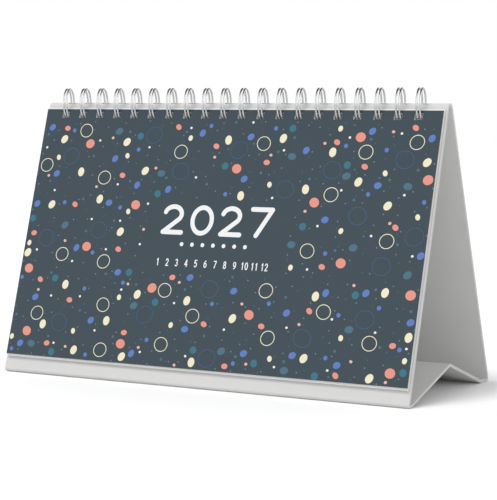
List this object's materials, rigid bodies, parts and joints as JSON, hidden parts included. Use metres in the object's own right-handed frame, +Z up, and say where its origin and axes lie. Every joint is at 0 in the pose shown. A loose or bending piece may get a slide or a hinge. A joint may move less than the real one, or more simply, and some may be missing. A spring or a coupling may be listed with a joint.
{
  "type": "desk calendar",
  "caption": "tent-shaped desk calendar of folded card, with a dotted cover and month leaves on twin-loop wire along its crest",
  "frame": {"origin": "centre of the footprint, on the surface that the calendar stands on", "axes": "+X along the width, left to right seen from the front; the front cover faces -Y; +Z is up"},
  "size_m": [0.182, 0.0754, 0.1157],
  "materials": {
    "card": "smooth light grey lined card, matt with a faint sheen",
    "paper": "white uncoated leaves",
    "printed_cover": "matt slate print with a confetti of small plain discs and rings",
    "wire": "bright silver wire"
  },
  "bodies": {
    "root": {"stand": "card", "month_pages": "paper", "front_cover": "printed_cover", "wire_binding": "wire"}
  },
  "joints": []
}
